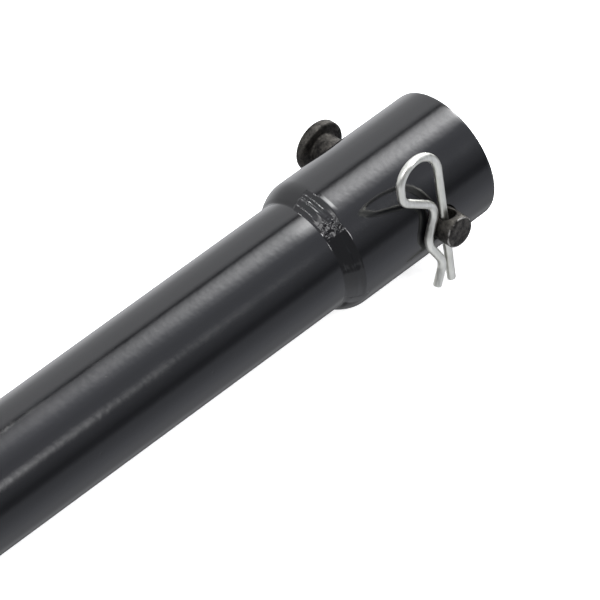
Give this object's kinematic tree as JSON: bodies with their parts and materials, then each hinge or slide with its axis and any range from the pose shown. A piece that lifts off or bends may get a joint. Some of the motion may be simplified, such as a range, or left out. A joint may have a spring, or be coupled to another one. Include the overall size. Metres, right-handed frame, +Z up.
{
  "type": "spreader beam",
  "caption": "Straight tubular spreader beam with a welded socket at each end; a clevis pin kept by an R-clip holds whatever is slid into the socket.",
  "frame": {"origin": "on the beam's axis, midway between the two clevis pins", "axes": "+X along the beam, Y along the clevis pins, +Z up, towards the clips' loops"},
  "size_m": [0.8512, 0.0772, 0.0645],
  "materials": {
    "beam_paint": "glossy black powder coat on steel",
    "weld_paint": "the same glossy coat over a rippled weld",
    "pin_steel": "black oxide, satin, slightly rough",
    "clip_zinc": "bright zinc plate on spring wire"
  },
  "bodies": {
    "beam": {"beam_tube": "beam_paint", "socket_right": "beam_paint", "socket_left": "beam_paint", "weld_upper_right": "weld_paint", "weld_lower_right": "weld_paint", "weld_upper_left": "weld_paint", "weld_lower_left": "weld_paint"},
    "pin_right": {"clevis_pin_right": "pin_steel"},
    "pin_left": {"clevis_pin_left": "pin_steel"},
    "clip_right": {"r_clip_right": "clip_zinc"},
    "clip_left": {"r_clip_left": "clip_zinc"}
  },
  "joints": [
    {"name": "pin_right_slide", "type": "slide", "parent": "beam", "child": "pin_right", "axis": [0, -1, 0], "range_m": [-0.0002, 0.0091]},
    {"name": "pin_left_slide", "type": "slide", "parent": "beam", "child": "pin_left", "axis": [0, 1, 0], "range_m": [-0.0002, 0.0091]},
    {"name": "clip_right_lift", "type": "slide", "parent": "pin_right", "child": "clip_right", "axis": [0, 0, 1], "range_m": [0, 0.036], "deforming": ["r_clip_right"]},
    {"name": "clip_left_lift", "type": "slide", "parent": "pin_left", "child": "clip_left", "axis": [0, 0, 1], "range_m": [0, 0.036], "deforming": ["r_clip_left"]}
  ]
}
